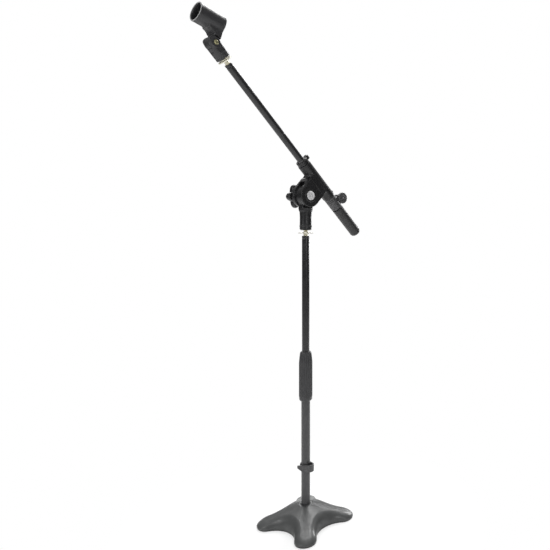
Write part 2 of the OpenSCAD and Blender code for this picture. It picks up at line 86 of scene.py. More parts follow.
# turns that point a turned shape's local Z along another axis of its frame
Z_TO_TAIL = Matrix(((0, 0, 1, 0), (0, 1, 0, 0), (-1, 0, 0, 0), (0, 0, 0, 1)))
Z_TO_MIC = Matrix(((0, 0, -1, 0), (0, 1, 0, 0), (1, 0, 0, 0), (0, 0, 0, 1)))
Z_TO_FRONT = Matrix(((1, 0, 0, 0), (0, 0, -1, 0), (0, 1, 0, 0), (0, 0, 0, 1)))
Z_TO_BACK = Matrix(((1, 0, 0, 0), (0, 0, 1, 0), (0, -1, 0, 0), (0, 0, 0, 1)))

BOOM_UP = (BOOM_FOOT - PIVOT).length / MM
CLIP_X = -(CLIP_PIVOT - BOOM_FOOT).length / MM
BORE_POINT = CLIP.inverted() @ Vector(MOUNT["microphone_bore"]["pos_m"])
BARREL_UP = BORE_POINT.z / MM
BARREL_LEN = MOUNT["microphone_bore"]["dims"]["length_mm"]
BORE_R = MOUNT["microphone_bore"]["dims"]["r_mm"]
PIVOT_Z = PIVOT.z / MM
MOUTH = (Vector(MOUNT["microphone_bore"]["pos_m"]).dot(BORE_OUT)
         + BARREL_LEN / 2 * MM)      # distance of the clip's mouth along BORE_OUT, in metres

# ---------------------------------------------------------------- materials


class Nodes:
    """Short calls for one material's node tree."""

    def __init__(self, name):
        self.mat = bpy.data.materials.new(name)
        self.mat.use_nodes = True
        self.tree = self.mat.node_tree
        self.shader = self.tree.nodes["Principled BSDF"]
        self.place = self.add("ShaderNodeTexCoord").outputs["Object"]

    def add(self, kind, **settings):
        node = self.tree.nodes.new(kind)
        for key, value in settings.items():
            setattr(node, key, value)
        return node

    def link(self, source, socket):
        self.tree.links.new(source, socket)

    def feed(self, socket, value):
        if isinstance(value, (int, float)):
            socket.default_value = value
        elif isinstance(value, (tuple, list)):
            socket.default_value = (*value, 1)
        else:
            self.link(value, socket)

    def noise(self, per_metre, detail=3.0, stretch=(1, 1, 1)):
        """Noise from 0 to 1, with a given number of blobs in each metre."""
        mapping = self.add("ShaderNodeMapping")
        mapping.inputs["Scale"].default_value = stretch
        self.link(self.place, mapping.inputs["Vector"])
        node = self.add("ShaderNodeTexNoise")
        node.inputs["Scale"].default_value = per_metre
        node.inputs["Detail"].default_value = detail
        self.link(mapping.outputs[0], node.inputs["Vector"])
        return node.outputs[0]

    def ramp(self, value, low, high, to_low=0.0, to_high=1.0):
        node = self.add("ShaderNodeMapRange")
        for key, number in zip(("From Min", "From Max", "To Min", "To Max"),
                               (low, high, to_low, to_high)):
            node.inputs[key].default_value = number
        self.link(value, node.inputs["Value"])
        return node.outputs[0]

    def maths(self, kind, a, b):
        node = self.add("ShaderNodeMath", operation=kind, use_clamp=True)
        self.feed(node.inputs[0], a)
        self.feed(node.inputs[1], b)
        return node.outputs[0]

    def mix(self, factor, a, b):
        node = self.add("ShaderNodeMix", data_type="RGBA")
        self.feed(node.inputs["Factor"], factor)
        self.feed(node.inputs[6], a)
        self.feed(node.inputs[7], b)
        return node.outputs[2]

    def dot(self, vector, direction):
        node = self.add("ShaderNodeVectorMath", operation="DOT_PRODUCT")
        node.inputs[1].default_value = direction
        self.link(vector, node.inputs[0])
        return node.outputs["Value"]

    def edges(self, low=0.53, high=0.62):
        """1 on convex edges and 0 on flat faces."""
        return self.ramp(self.add("ShaderNodeNewGeometry").outputs["Pointiness"], low, high)

    def bump(self, height, distance, strength=1.0, before=None):
        node = self.add("ShaderNodeBump")
        node.inputs["Strength"].default_value = strength
        node.inputs["Distance"].default_value = distance
        self.link(height, node.inputs["Height"])
        if before is not None:
            self.link(before, node.inputs["Normal"])
        return node.outputs[0]


def shade(colour, factor):
    return tuple(min(1.0, c * factor) for c in colour)


def coating(name, colour, roughness, grain=1400, relief=0.00004, mottle=0.14, wear=0.5,
            worn=None, blobs=90, coat=0.0, rim=None):
    """Paint, powder coat or moulded plastic: mottled colour, fine grain, rubbed edges.
    rim is (direction, reach, colour): a painted highlight in that colour on the faces that look along the
    direction and lie beyond reach on it."""
    n = Nodes(name)
    patches = n.ramp(n.noise(blobs, 4), 0.3, 0.7)
    grains = n.noise(grain, 2)
    base = n.mix(patches, shade(colour, 1 - mottle), shade(colour, 1 + mottle))
    base = n.mix(n.ramp(grains, 0.62, 0.74, 0, 0.35), base, shade(colour, 1.9))
    rubbed = n.maths("MULTIPLY", n.edges(), n.ramp(n.noise(420, 4), 0.35, 0.62, 0, wear))
    base = n.mix(rubbed, base, worn or shade(colour, 2.2))
    if rim:
        # painted highlight: faces that look along the direction, past reach, take the pale colour in place of a
        # reflection of the lamps
        direction, reach, painted_highlight_colour = rim
        normal = n.add("ShaderNodeNewGeometry").outputs["Normal"]
        facing = n.ramp(n.dot(normal, direction), 0.35, 0.8)
        beyond = n.ramp(n.dot(n.place, direction), reach, reach + 0.0004)
        base = n.mix(n.maths("MULTIPLY", facing, beyond), base, painted_highlight_colour)
    n.feed(n.shader.inputs["Base Color"], base)
    rough = n.ramp(n.noise(blobs * 2.3, 5), 0.25, 0.75, roughness - 0.07, roughness + 0.09)
    polish = n.maths("MULTIPLY", rubbed, 0.2)
    n.feed(n.shader.inputs["Roughness"], n.maths("SUBTRACT", rough, polish))
    n.shader.inputs["Coat Weight"].default_value = coat
    n.shader.inputs["Coat Roughness"].default_value = 0.18
    fine = n.bump(grains, relief)
    n.feed(n.shader.inputs["Normal"], n.bump(n.noise(blobs * 3, 2), relief * 2, 0.35, fine))
    return n.mat


def metal(name, colour, roughness, stretch=(1, 1, 1), scratches=700, tarnish=0.2,
          metallic=1.0):
    """Plated or turned metal: brushed lines, tarnish in patches, brighter edges."""
    n = Nodes(name)
    lines = n.noise(scratches, 3, stretch)
    patches = n.ramp(n.noise(160, 5), 0.38, 0.68)
    base = n.mix(patches, colour, shade(colour, 1 - tarnish))
    base = n.mix(n.ramp(lines, 0.4, 0.7, 0, 0.2), base, shade(colour, 0.75))
    n.feed(n.shader.inputs["Base Color"], n.mix(n.edges(), base, shade(colour, 1.2)))
    n.shader.inputs["Metallic"].default_value = metallic
    rough = n.ramp(lines, 0.3, 0.7, roughness - 0.06, roughness + 0.12)
    n.feed(n.shader.inputs["Roughness"], rough)
    n.feed(n.shader.inputs["Normal"], n.bump(lines, 0.00001, 0.7))
    return n.mat


MATERIAL = {
    "base_coat": coating("base_coat", (0.058, 0.06, 0.06), 0.36, 900, 0.00006, 0.14, 0.25,
                         worn=(0.13, 0.13, 0.13), blobs=55),
    "grey_coat": coating("grey_coat", (0.05, 0.05, 0.052), 0.36, 1500, 0.00003, 0.1, 0.3,
                         blobs=70),
    "black_coat": coating("black_coat", (0.012, 0.012, 0.013), 0.3, 1600, 0.000008, 0.2, 0.3,
                          coat=0.2, blobs=60),
    "black_plastic": coating("black_plastic", (0.009, 0.009, 0.01), 0.36, 1900, 0.000015, 0.2,
                             0.5, worn=(0.07, 0.07, 0.072), blobs=110),
    "grip_plastic": coating("grip_plastic", (0.035, 0.035, 0.037), 0.46, 1500, 0.00004, 0.12,
                            0.5, worn=(0.13, 0.13, 0.135)),
    "collar_plastic": coating("collar_plastic", (0.06, 0.06, 0.062), 0.4, 1100, 0.00006,
                              0.35, 0.8, worn=(0.24, 0.24, 0.24), blobs=240),
    # clip_plastic's rim paints a pale highlight on the face of the clip's mouth
    "clip_plastic": coating("clip_plastic", (0.03, 0.03, 0.032), 0.38, 2100, 0.000015, 0.1,
                            0.4, worn=(0.12, 0.12, 0.125),
                            rim=(BORE_OUT, MOUTH - 0.0014, (0.42, 0.42, 0.42))),
    "tail_rubber": coating("tail_rubber", (0.022, 0.022, 0.023), 0.5, 650, 0.0001, 0.35, 0.5,
                           worn=(0.09, 0.09, 0.09), blobs=240),
    "rubber": coating("rubber", (0.012, 0.012, 0.012), 0.75, 800, 0.0001, 0.25, 0.2),
    "white_plastic": coating("white_plastic", (0.7, 0.68, 0.62), 0.4, 1500, 0.00003, 0.04, 0.1,
                             worn=(0.8, 0.79, 0.75)),
    "zinc": metal("zinc", (0.62, 0.62, 0.64), 0.28),
    "yellow_zinc": metal("yellow_zinc", (0.86, 0.83, 0.7), 0.36, tarnish=0.14, metallic=0.6),
    "dull_brass": metal("dull_brass", (0.36, 0.34, 0.2), 0.42, tarnish=0.35),
    "badge_chrome": metal("badge_chrome", (0.86, 0.86, 0.87), 0.4, (1, 0.05, 0.05), 2600, 0.06,
                          0.45),
}

# ---------------------------------------------------------------- mesh tools


def rounded(points, cuts, closed=True, steps=4):
    """The outline with its corners rounded; cuts is one length or one for each corner."""
    out = []
    last = len(points) - 1
    for i, corner in enumerate(points):
        cut = cuts[i] if isinstance(cuts, (list, tuple)) else cuts
        corner = Vector(corner)
        if cut == 0 or (not closed and i in (0, last)):
            out.append(corner)
            continue
        before = Vector(points[i - 1]) - corner
        after = Vector(points[(i + 1) % len(points)]) - corner
        start = corner + before.normalized() * min(cut, before.length / 2)
        end = corner + after.normalized() * min(cut, after.length / 2)
        for k in range(steps + 1):
            t = k / steps
            out.append(start * (1 - t) ** 2 + corner * (2 * t * (1 - t)) + end * t ** 2)
    return out


def finish_piece(name, mesh, node, body, slot, sharp):
    """Cleans a mesh, gives it its finish, and makes it ride on its body in place of its node."""
    bm = bmesh.new()
    bm.from_mesh(mesh)
    bmesh.ops.remove_doubles(bm, verts=bm.verts, dist=1e-7)
    bmesh.ops.recalc_face_normals(bm, faces=bm.faces)
    bm.to_mesh(mesh)
    bm.free()
    mesh.shade_smooth()
    mesh.set_sharp_from_angle(angle=radians(sharp))
    piece = bpy.data.objects.new(name, mesh)
    bpy.context.collection.objects.link(piece)
    mesh.materials.append(MATERIAL[slot])
    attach(piece, body)
    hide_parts(node)


def mesh_from(name, points, faces, matrix):
    place = np.array(matrix)
    points = np.asarray(points, float) * MM @ place[:3, :3].T + place[:3, 3]
    mesh = bpy.data.meshes.new(name)
    mesh.from_pydata(points.tolist(), [], [list(map(int, f)) for f in faces])
    return mesh


def grid_faces(rings, steps, closed):
    """Quads between rings of points; closed joins the last ring to the first."""
    count = rings if closed else rings - 1
    return [
        (k * steps + i, k * steps + (i + 1) % steps,
         (k + 1) % rings * steps + (i + 1) % steps, (k + 1) % rings * steps + i)
        for k in range(count) for i in range(steps)
    ]


def turned(name, node, profile, matrix, body, slot, steps=96, closed=True, wave=None, sharp=40):
    """A shape turned about local Z from (radius, height) points. wave(angle, radius, height)
    gives each point's own radius. An open profile starts and ends on the axis."""
    angle = np.linspace(0, 2 * pi, steps, endpoint=False)
    rings = []
    for radius, height in profile:
        r = np.full(steps, radius) if wave is None else wave(angle, radius, height)
        rings.append(np.column_stack([r * np.cos(angle), r * np.sin(angle),
                                      np.full(steps, height)]))
    faces = grid_faces(len(rings), steps, closed)
    mesh = mesh_from(name, np.concatenate(rings), faces, matrix)
    finish_piece(name, mesh, node, body, slot, sharp)


def along(start, stop, step):
    """Heights from start to stop at about the given step."""
    return np.linspace(start, stop, max(2, int(round(abs(stop - start) / step)) + 1))


# Solid modelling with distance fields: p is a tuple of three arrays, in millimetres.


def round_box(p, low, high, r=0.0):
    q = [np.abs(c - (a + b) / 2) - (b - a) / 2 + r for c, a, b in zip(p, low, high)]
    out = np.sqrt(sum(np.maximum(c, 0) ** 2 for c in q))
    return out + np.minimum(np.maximum(np.maximum(q[0], q[1]), q[2]), 0) - r


def rod(p, axis, centre, radius, low, high, r=0.0):
    """A cylinder along an axis (0, 1 or 2) from low to high, with its edges rounded by r."""
    a, b = [c - d for c, d in zip((p[i] for i in range(3) if i != axis), centre)]
    side = np.sqrt(a * a + b * b) - radius + r
    end = np.abs(p[axis] - (low + high) / 2) - (high - low) / 2 + r
    out = np.sqrt(np.maximum(side, 0) ** 2 + np.maximum(end, 0) ** 2)
    return out + np.minimum(np.maximum(side, end), 0) - r


def join(a, b, k=0.01):
    """Union with a fillet of about k."""
    h = np.maximum(k - np.abs(a - b), 0) / k
    return np.minimum(a, b) - h * h * k / 4


def meet(a, b, k=0.01):
    return -join(-a, -b, k)


def cut(a, b, k=0.01):
    """a without b, with the new edge eased by about k."""
    return meet(a, -b, k)


def moulded(name, node, shape, low, high, matrix, body, slot, voxel):
    """The surface of a distance field as a piece, its points moved exactly onto the shape."""
    axes = [np.arange(a - 3 * voxel, b + 3 * voxel, voxel) for a, b in zip(low, high)]
    field = shape(np.meshgrid(*axes, indexing="ij"))
    band = 3 * voxel
    grid = openvdb.FloatGrid(band)
    grid.copyFromArray(np.ascontiguousarray(np.clip(field, -band, band), dtype=np.float32))
    points, _, quads = grid.convertToPolygons(0.0, 0.0)
    points = points * voxel + np.array([a[0] for a in axes])
    tiny = 0.02
    for _ in range(3):
        here = shape(points.T)
        slope = np.stack([
            (shape((points + step).T) - shape((points - step).T)) / (2 * tiny)
            for step in np.eye(3) * tiny
        ], axis=1)
        steep = np.maximum((slope ** 2).sum(1), 0.25)
        points = points - np.clip(here / steep, -voxel, voxel)[:, None] * slope
    finish_piece(name, mesh_from(name, points, quads, matrix), node, body, slot, 50)


# ---------------------------------------------------------------- base

LOBES = 4
BASE_R = 103.3          # pole axis to the tip of a lobe
LOBE_R = 23.0
WAIST_R = 53.0          # pole axis to the waist between two lobes
BASE_TURN = -40
MAT_T = 2.0
BOSS_H = size_of("base_casting")[1].z
BOSS_R = 14.5
TOP_SLOPE = 0.39
LOBE_LIFT = 3.0
EDGE_W = 15.0           # width of the rounded shoulder
EDGE_POWER = 2.1
RIM_H = 2.0
OUTLINE_INSET = 0.12    # keeps the casting's outline just inside the CAD's
MAT_INSET = 1.0
GROOVE = 0.7            # depth of the grooves in the mat's sole

LOBE_C = BASE_R - LOBE_R
WAIST_FILLET = ((LOBE_C ** 2 + WAIST_R ** 2 - LOBE_R ** 2 - 2 ** 0.5 * LOBE_C * WAIST_R)
                / (2 * LOBE_R - 2 * WAIST_R + 2 ** 0.5 * LOBE_C))
WAIST_C = WAIST_R + WAIST_FILLET
WAIST_XY = WAIST_C / 2 ** 0.5
TANGENT = np.arctan2(WAIST_XY, WAIST_XY - LOBE_C)


def folded(angle):
    """Angle from the nearest lobe's centre line."""
    sector = 2 * pi / LOBES
    turn = np.mod(angle, sector)
    return np.minimum(turn, sector - turn)


def foot_radius(angle, inset=0.0):
    """Radius of the foot's outline at an angle, moved inwards by inset."""
    t = folded(angle)
    lobe, waist = LOBE_R - inset, WAIST_FILLET + inset
    split = np.arctan2(lobe * sin(TANGENT), LOBE_C + lobe * cos(TANGENT))
    end = LOBE_C * np.cos(t) + np.sqrt(np.maximum(lobe ** 2 - (LOBE_C * np.sin(t)) ** 2, 0))
    side = WAIST_C * np.cos(pi / 4 - t) - np.sqrt(
        np.maximum(waist ** 2 - (WAIST_C * np.sin(pi / 4 - t)) ** 2, 0))
    return np.where(t < split, end, side)


def foot_depth(radius, angle):
    """Distance from a point inside the foot's outline to that outline."""
    t = folded(angle)
    x, y = radius * np.cos(t), radius * np.sin(t)
    end = LOBE_R - np.hypot(x - LOBE_C, y)
    side = np.hypot(x - WAIST_XY, y - WAIST_XY) - WAIST_FILLET
    return np.where(np.arctan2(y, x - LOBE_C) < TANGENT, end, side)


def foot_top(radius, angle):
    """Height of the casting's top face."""
    out = np.maximum(radius - BOSS_R, 0)
    crown = BOSS_H - TOP_SLOPE * out + LOBE_LIFT * (out / (BASE_R - BOSS_R)) ** 2
    u = np.clip(1 - foot_depth(radius, angle) / EDGE_W, 0, 1)
    return crown - (crown - MAT_T - RIM_H) * (1 - (1 - u ** EDGE_POWER) ** (1 / EDGE_POWER))


def casting():
    """Cast foot: rings from the middle of its underside, over the rim, to the pole's bore."""
    steps, top_rings = 384, 56
    angle = np.linspace(0, 2 * pi, steps, endpoint=False)
    outer = foot_radius(angle, OUTLINE_INSET)
    tube_r = size_of("lower_tube")[1].x + 0.05
    rings = []

    def ring(radius, height):
        radius = np.broadcast_to(radius, steps)
        rings.append(np.column_stack([radius * np.cos(angle), radius * np.sin(angle),
                                      np.broadcast_to(height, steps)]))

    # underside from the middle outwards, the small radius at the floor, then the rim
    for part in (0.0, 0.3, 0.6, 0.85):
        ring(outer * part, MAT_T)
    ring(outer - 0.9, MAT_T)
    ring(outer - 0.35, MAT_T + 0.12)
    ring(outer - 0.08, MAT_T + 0.5)
    ring(outer, MAT_T + 1.0)
    # top face from the rim inwards, with its rings closer together on the shoulder
    for k in range(top_rings + 1):
        radius = BOSS_R + (outer - BOSS_R) * (1 - (k / top_rings) ** 2.2)
        ring(radius, foot_top(radius, angle))
    # boss, then the bore that the tube stands in
    ring(BOSS_R - 1.2, BOSS_H)
    ring(tube_r + 0.8, BOSS_H)
    ring(tube_r + 0.2, BOSS_H - 0.25)
    ring(tube_r, BOSS_H - 0.9)
    ring(tube_r, BOSS_H - 12)
    ring(0.0, BOSS_H - 12)
    faces = grid_faces(len(rings), steps, False)
    turn = Matrix.Rotation(radians(BASE_TURN), 4, "Z")
    mesh = mesh_from("casting", np.concatenate(rings), faces, turn)
    finish_piece("casting", mesh, "base_casting", "base", "base_coat", 40)


def mat():
    """Rubber sheet under the casting, with a ribbed sole."""
    steps = 288
    angle = np.linspace(0, 2 * pi, steps, endpoint=False)
    outer = foot_radius(angle, MAT_INSET)
    # shares of the outline's radius, each with its height
    section = [(0.0, GROOVE), (0.1, GROOVE)]
    for k in range(1, 8):
        rib = 0.1 + 0.11 * k
        section += [(rib - 0.02, GROOVE), (rib, 0.0), (rib + 0.03, 0.0), (rib + 0.05, GROOVE)]
    section += [(0.97, GROOVE), (0.98, 0.0), (0.995, 0.0), (1.0, 0.5), (1.0, 1.6),
                (0.995, MAT_T), (0.0, MAT_T)]
    rings = [np.column_stack([outer * part * np.cos(angle), outer * part * np.sin(angle),
                              np.full(steps, height)]) for part, height in section]
    faces = grid_faces(len(rings), steps, False)
    turn = Matrix.Rotation(radians(BASE_TURN), 4, "Z")
    mesh = mesh_from("mat", np.concatenate(rings), faces, turn)
    finish_piece("mat", mesh, "base_mat", "base", "rubber", 40)


# ---------------------------------------------------------------- pole

TUBE_WALL = 1.2


def tube(name, node, matrix, radius, low, high, body, slot, lip=0.8, grooves=()):
    """A drawn tube: rounded ends and rolled grooves at the given heights."""
    skin = [(radius - lip, low), (radius, low + lip)]
    for height in grooves:
        skin += [(radius, height - 1.3), (radius - 0.45, height - 0.4),
                 (radius - 0.45, height + 0.4), (radius, height + 1.3)]
    skin += [(radius, high - lip), (radius - lip, high)]
    bore_r = radius - TUBE_WALL
    bore = [Vector((bore_r, high - 0.3)), Vector((bore_r, low + 0.3))]
    profile = rounded(skin, [0.3] + [0.5] * (len(skin) - 2) + [0.3], False) + bore
    turned(name, node, profile, matrix, body, slot, 128)


def pole_tubes():
    """Lower tube up to the grip, and upper tube with a rolled groove near its top."""
    low, high = size_of("lower_tube")
    tube("lower_pole", "lower_tube", POLE, high.x, low.z, high.z, "base", "grey_coat")
    low, high = size_of("upper_tube")
    tube("upper_pole_tube", "upper_tube", POLE, high.x, low.z, high.z, "upper_pole",
         "black_coat", 1.0, (high.z - 6,))


def grip():
    """Clutch grip: rounded flutes that run out at the plain foot and up the tapered top."""
    low, high = size_of("clutch_grip")
    foot, top, radius = low.z, high.z, 14.5
    ribs, depth, taper, neck_r = 20, 1.05, 26.0, 12.2
    seat_r, hub_bore, collet_bore = 8.35, 10.6, 12.1
    body = [
        (hub_bore, foot), (radius - 2.0, foot), (radius - 0.6, foot + 2.2),
        (radius - 0.5, foot + 7),
        *[(radius, z) for z in along(foot + 8.5, top - taper, 2.0)],
        *[(radius - (radius - neck_r) * t ** 1.3, top - taper + (taper - 3) * t)
          for t in np.linspace(0.12, 1, 9)],
        (neck_r - 1.2, top - 0.9), (neck_r - 2.4, top), (seat_r, top), (seat_r, top - 12),
        (hub_bore, top - 17), (collet_bore, foot + 70), (collet_bore, foot + 1.2),
    ]

    def flutes(angle, r, z):
        inside = r in (seat_r, hub_bore, collet_bore)
        fade = np.clip((z - foot - 6) / 4, 0, 1) * np.clip((top - 2.2 - z) / 5, 0, 1)
        shape = (0.5 - 0.5 * np.cos(ribs * angle)) ** 0.7
        return np.full_like(angle, r) if inside else r - depth * fade * shape

    turned("grip", "clutch_grip", body, POLE, "clutch_grip", "grip_plastic", ribs * 14, True,
           flutes)


def stud(name, node, matrix, foot_z, tip_z, collar_r, plug_len, body):
    """A 3/8 inch threaded stud with the plain collar that is pressed into its tube."""
    radius, pitch, depth = 4.72, 1.5875, 0.75
    profile = [(0.0, foot_z - plug_len), (collar_r - 0.5, foot_z - plug_len),
               (collar_r, foot_z - plug_len + 0.5), (collar_r, foot_z - 0.4),
               (collar_r - 0.5, foot_z), (radius, foot_z)]
    profile += [(radius, z) for z in along(foot_z + 0.2, tip_z - 1.0, 0.2)]
    profile += [(radius - 1.0, tip_z), (0.0, tip_z)]

    def thread(angle, r, z):
        turn = np.mod((z - foot_z) / pitch - angle / (2 * pi), 1.0)
        groove = depth * (1 - np.abs(2 * turn - 1)) * np.clip((z - foot_z) / 1.0, 0, 1)
        return r - groove if r == radius else np.full_like(angle, r)

    turned(name, node, profile, matrix, body, "yellow_zinc", 72, False, thread, 60)


def locknut(name, node, matrix, disc_r, body):
    """Thin disc with a knurled rim on a short hub. Its disc starts at local height 0."""
    hub_r, bore_r, teeth = 6.2, 4.81, 40
    foot, disc_t, top = -2.0, 1.8, 3.5
    corners = [(bore_r, foot), (hub_r, foot), (hub_r, 0.0), (disc_r, 0.0), (disc_r, disc_t),
               (hub_r, disc_t), (hub_r, top), (bore_r, top)]
    profile = rounded(corners, [0.3, 0.4, 0.3, 0.4, 0.4, 0.3, 0.4, 0.3])

    def knurl(angle, r, z):
        return r - 0.3 * np.clip(r - disc_r + 1, 0, 1) * (0.5 - 0.5 * np.cos(teeth * angle))

    turned(name, node, profile, matrix, body, "yellow_zinc", teeth * 6, True, knurl)


def studs_and_locknuts():
    """The same stud and thumb disc at the top of the pole and at the boom's end."""
    low, high = size_of("pole_stud")
    tube_top = size_of("upper_tube")[1].z
    stud("pole_top_stud", "pole_stud", POLE, tube_top, high.z, collar_r=6.8,
         plug_len=tube_top - low.z, body="upper_pole")
    disc_z = JOINT["pole_locknut_turn"]["pos_m"][2] / MM
    locknut("pole_ring_nut", "pole_locknut", Matrix.Translation((0, 0, disc_z * MM)), 16.0,
            "pole_locknut")
    # on the boom, local Z of these two points out of the tube's microphone end
    outwards = BOOM @ Z_TO_MIC
    stud("boom_end_stud", "boom_stud", outwards, BOOM_FRONT, BOOM_FRONT + 24.4, collar_r=5.8,
         plug_len=20, body="boom")
    disc_x = (Vector(JOINT["boom_locknut_turn"]["pos_m"]) - BOOM_FOOT).length / MM
    locknut("boom_ring_nut", "boom_locknut", outwards @ Matrix.Translation((0, 0, disc_x * MM)),
            14.0, "boom_locknut")


def pole_clip():
    """Open ring on the lower tube with a pocket for the cable and a loose end."""
    tube_r = size_of("lower_tube")[1].x
    low, high = size_of("pole_cable_clip")
    centre_z = (low.z + high.z) / 2
    wall, pocket_r, pocket_x, half_h = 3.0, 6.8, 11.0, 7.5
    strap, strap_len = radians(-137), 18

    def shape(p):
        x, y, z = p
        pole = np.hypot(x, y)
        pocket = np.hypot(x - pocket_x, y)
        outline = join(pole - tube_r - wall, pocket - pocket_r - wall, 5)
        u, v = x * cos(strap) + y * sin(strap), y * cos(strap) - x * sin(strap)
        tail = round_box((u, v, z), (0, tube_r - 2, -half_h),
                         (strap_len, tube_r + 2.8, half_h), 1.2)
        slope = (z + half_h) * 0.75 + (strap_len - 0.5 - u) * 0.65 - 7
        tail = meet(tail, -slope, 0.8)
        body = meet(join(outline, tail, 1.5), np.abs(z) - half_h, 1.2)
        body = cut(body, join(pole - tube_r - 0.05, pocket - pocket_r, 3), 1.0)
        gap = round_box((u, v, z), (tube_r - 1.5, tube_r - 7, -20), (40, tube_r - 1, 20))
        return cut(body, gap, 0.8)

    turn = Matrix.Translation((0, 0, centre_z * MM)) @ Matrix.Rotation(radians(-83), 4, "Z")
    moulded("pole_cable_holder", "pole_cable_clip", shape, (-24, -21, -8), (22, 21, 8), turn,
            "pole_cable_clip", "collar_plastic", 0.4)


# ---------------------------------------------------------------- tilt head

BOOM_R = 7.5
BOOM_FRONT = 305.6      # pivot's foot on the boom to the microphone end of the tube
SLEEVE_R, SLEEVE_FRONT, SLEEVE_BACK = 14.2, 52.0, 48.0
NOSE_R, NOSE_LEN = 10.6, 10.0
EAR_R, EAR_IN, EAR_OUT = 25.5, 8.6, 17.0
STEM_HALF = 26.5
BADGE_R = 10.5
SPIGOT_R, SPIGOT_LEN = 11.4, 5.8        # of the collar, in the sleeve's back end
FAR = 99                # past the end of any moulded shape


def socket():
    """Swivel socket: flared barrel, tongue between the ears, two moulded rings."""
    low, high = size_of("swivel_socket")
    foot, top = low.z, PIVOT_Z - 26.5
    tongue_r, tongue_half = 22.0, 7.0

    def shape(p):
        x, y, z = p
        side = np.hypot(x, y)
        t = np.clip((z - foot) / (top - foot), 0, 1)
        radius = 13.0 - 0.9 * t + 3.1 * t ** 5
        barrel = meet(side - radius, np.abs(z - (foot + top) / 2) - (top - foot) / 2, 1.6)
        barrel = meet(barrel, (side - 10.8 - (z - foot)) * 0.7, 1.0)
        for height in (foot + 8.0, foot + 11.0):
            barrel = join(barrel, np.hypot(side - 12.8, z - height) - 0.7, 0.6)
        tongue = rod(p, 1, (0, PIVOT_Z), tongue_r, -tongue_half, tongue_half, 1.0)
        web = round_box(p, (-13, -tongue_half, top - 6), (13, tongue_half, top + 10), 1.5)
        body = join(join(tongue, web, 3), barrel, 5)
        body = cut(body, rod(p, 1, (0, PIVOT_Z), 4.2, -FAR, FAR), 0.5)
        bore = rod(p, 2, (0, 0), 8.0, foot - 5, foot + 22)
        return cut(body, bore, 0.8)

    moulded("tilt_socket", "swivel_socket", shape, (-23, -17, foot), (23, 17, high.z), POLE,
            "upper_pole", "black_plastic", 0.55)


def holder():
    """Boom holder: two round ears, a stem and a sleeve along the boom."""

    def shape(p):
        x, y, z = p
        ears = rod(p, 1, (0, 0), EAR_R, -EAR_OUT, EAR_OUT, 1.6)
        shoulders = round_box(p, (-EAR_R, -EAR_OUT, -1), (EAR_R, EAR_OUT, EAR_R + 2), 1.6)
        stem = round_box(p, (-STEM_HALF, -SLEEVE_R, 12), (STEM_HALF, SLEEVE_R, BOOM_UP - 4), 2.0)
        sleeve = rod(p, 0, (0, BOOM_UP), SLEEVE_R, -SLEEVE_FRONT, SLEEVE_BACK, 1.6)
        nose = rod(p, 0, (0, BOOM_UP), NOSE_R, -SLEEVE_FRONT - NOSE_LEN, -SLEEVE_FRONT + 4, 0.8)
        body = join(join(ears, shoulders, 1.5), stem, 4)
        body = join(body, join(sleeve, nose, 1.5), 5)
        for side in (-1, 1):
            plate = rod(p, 1, (0, 0), BADGE_R + 3.6, side * EAR_OUT - 0.9, side * EAR_OUT + 0.9,
                        0.7)
            body = join(body, plate, 1.0)
        lug = round_box(p, (SLEEVE_BACK - 4, -2.5, BOOM_UP), (SLEEVE_BACK, 2.5, BOOM_UP + 18), 1)
        body = join(body, lug, 1.5)
        gap = join(rod(p, 1, (0, 0), 24.5, -EAR_IN, EAR_IN),
                   round_box(p, (-FAR, -EAR_IN, -FAR), (FAR, EAR_IN, 17)))
        body = cut(body, gap, 1.2)
        body = cut(body, rod(p, 0, (0, BOOM_UP), 9.0, -FAR, FAR), 1.0)
        pocket = rod(p, 0, (0, BOOM_UP), SPIGOT_R + 0.1, SLEEVE_BACK - SPIGOT_LEN - 0.2, FAR)
        body = cut(body, pocket, 0.8)
        body = cut(body, rod(p, 1, (0, 0), 4.05, -FAR, FAR))
        return cut(body, rod(p, 1, (0, 0), BADGE_R + 0.05, -FAR, -EAR_OUT + 0.6), 0.3)

    moulded("holder", "boom_holder", shape, (-63, -19, -27), (49, 19, BOOM_UP + 19), HEAD,
            "boom_holder", "black_plastic", 0.7)


def badge():
    """Plain silver cap over the pivot bolt: rim, step and a slightly domed face."""
    face = EAR_OUT + 0.6
    back = face - 1.2
    corners = [(0.0, face - 0.15), (6.0, face - 0.25), (BADGE_R - 2.2, face - 0.5),
               (BADGE_R - 1.6, face), (BADGE_R - 0.2, face), (BADGE_R, face - 0.8),
               (BADGE_R, back), (0.0, back)]
    profile = rounded(corners, [0, 3, 0.4, 0.3, 0.4, 0.3, 0, 0], False)
    turned("badge", "pivot_badge", profile, HEAD @ Z_TO_FRONT, "boom_holder", "badge_chrome", 96,
           False)


def star_knob():
    """Five-lobed knob with a dished face, on the far side of the head."""
    low, high = size_of("pivot_knob")
    near, rim_near, rim_far = low.y, low.y + 6.4, high.y
    lobes, tip_r, valley_r, first_lobe = 5, 27.0, 18.6, radians(132)
    bolt_r, hub_r = 4.1, 11.0
    dish = rim_far - 3.0
    corners = [
        (bolt_r, near), (hub_r, near), (hub_r, rim_near + 1.2), (tip_r - 3.5, rim_near),
        (tip_r, rim_near + 3.0), (tip_r, rim_far - 3.5), (tip_r - 4.5, rim_far),
        (11.5, rim_far - 0.6), (9.5, dish), (bolt_r, dish),
    ]
    profile = rounded(corners, [0.4, 0.8, 2.0, 2.0, 3.0, 3.0, 3.0, 1.2, 1.2, 0.3], True, 6)

    def star(angle, r, z):
        wave = (0.5 + 0.5 * np.cos(lobes * (angle - first_lobe))) ** 0.8
        share = np.clip((r - hub_r - 1) / (tip_r - hub_r - 1), 0, 1)
        return r - (tip_r - valley_r) * (1 - wave) * share

    turned("star_knob", "pivot_knob", profile, HEAD @ Z_TO_BACK, "pivot_knob", "black_plastic",
           240, True, star)


# ---------------------------------------------------------------- boom clamp

